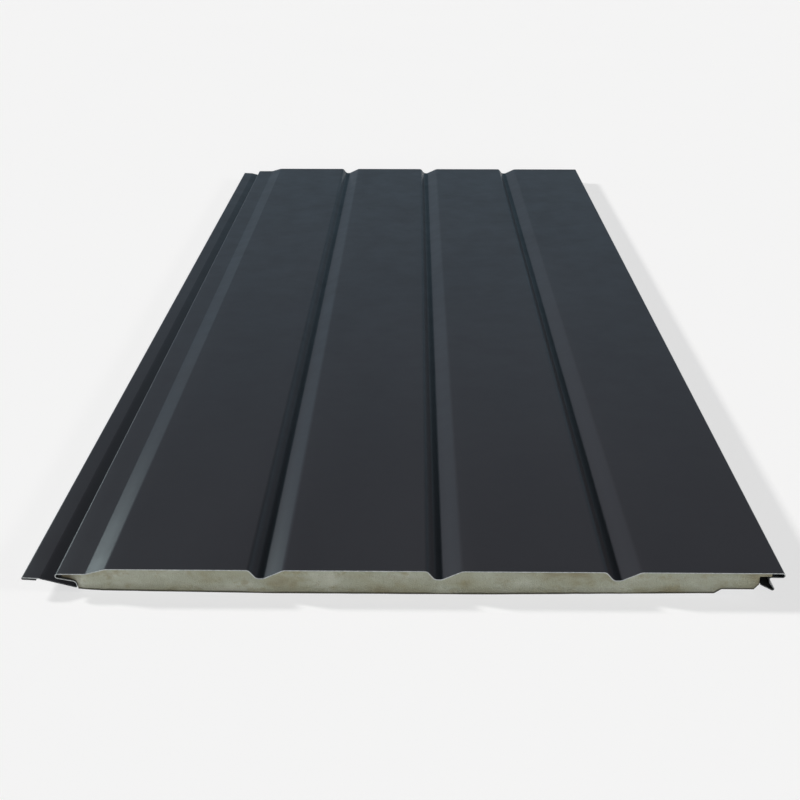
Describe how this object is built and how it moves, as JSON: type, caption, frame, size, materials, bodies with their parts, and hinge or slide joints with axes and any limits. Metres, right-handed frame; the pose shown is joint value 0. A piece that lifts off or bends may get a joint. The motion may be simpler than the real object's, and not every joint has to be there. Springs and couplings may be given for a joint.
{
  "type": "insulated metal siding panel",
  "caption": "Flat wall cladding panel: dark painted steel face with grooved planks on a foam core, a tongue and nailing flange on one long edge and a hooked slot on the other.",
  "frame": {"origin": "middle of the panel's overall width and length, at the plane of its back", "axes": "+X from the nailing flange to the overhanging edge, +Y along the panel, +Z from the back to the painted face"},
  "size_m": [0.427, 1, 0.015],
  "materials": {
    "face_paint": "satin charcoal coating, bare along the cut ends",
    "rigid_foam": "sawn rigid foam, mottled",
    "foil_facer": "dull foil laminate"
  },
  "bodies": {
    "root": {"face_sheet": "face_paint", "foam_core": "rigid_foam", "back_facer": "foil_facer"}
  },
  "joints": []
}
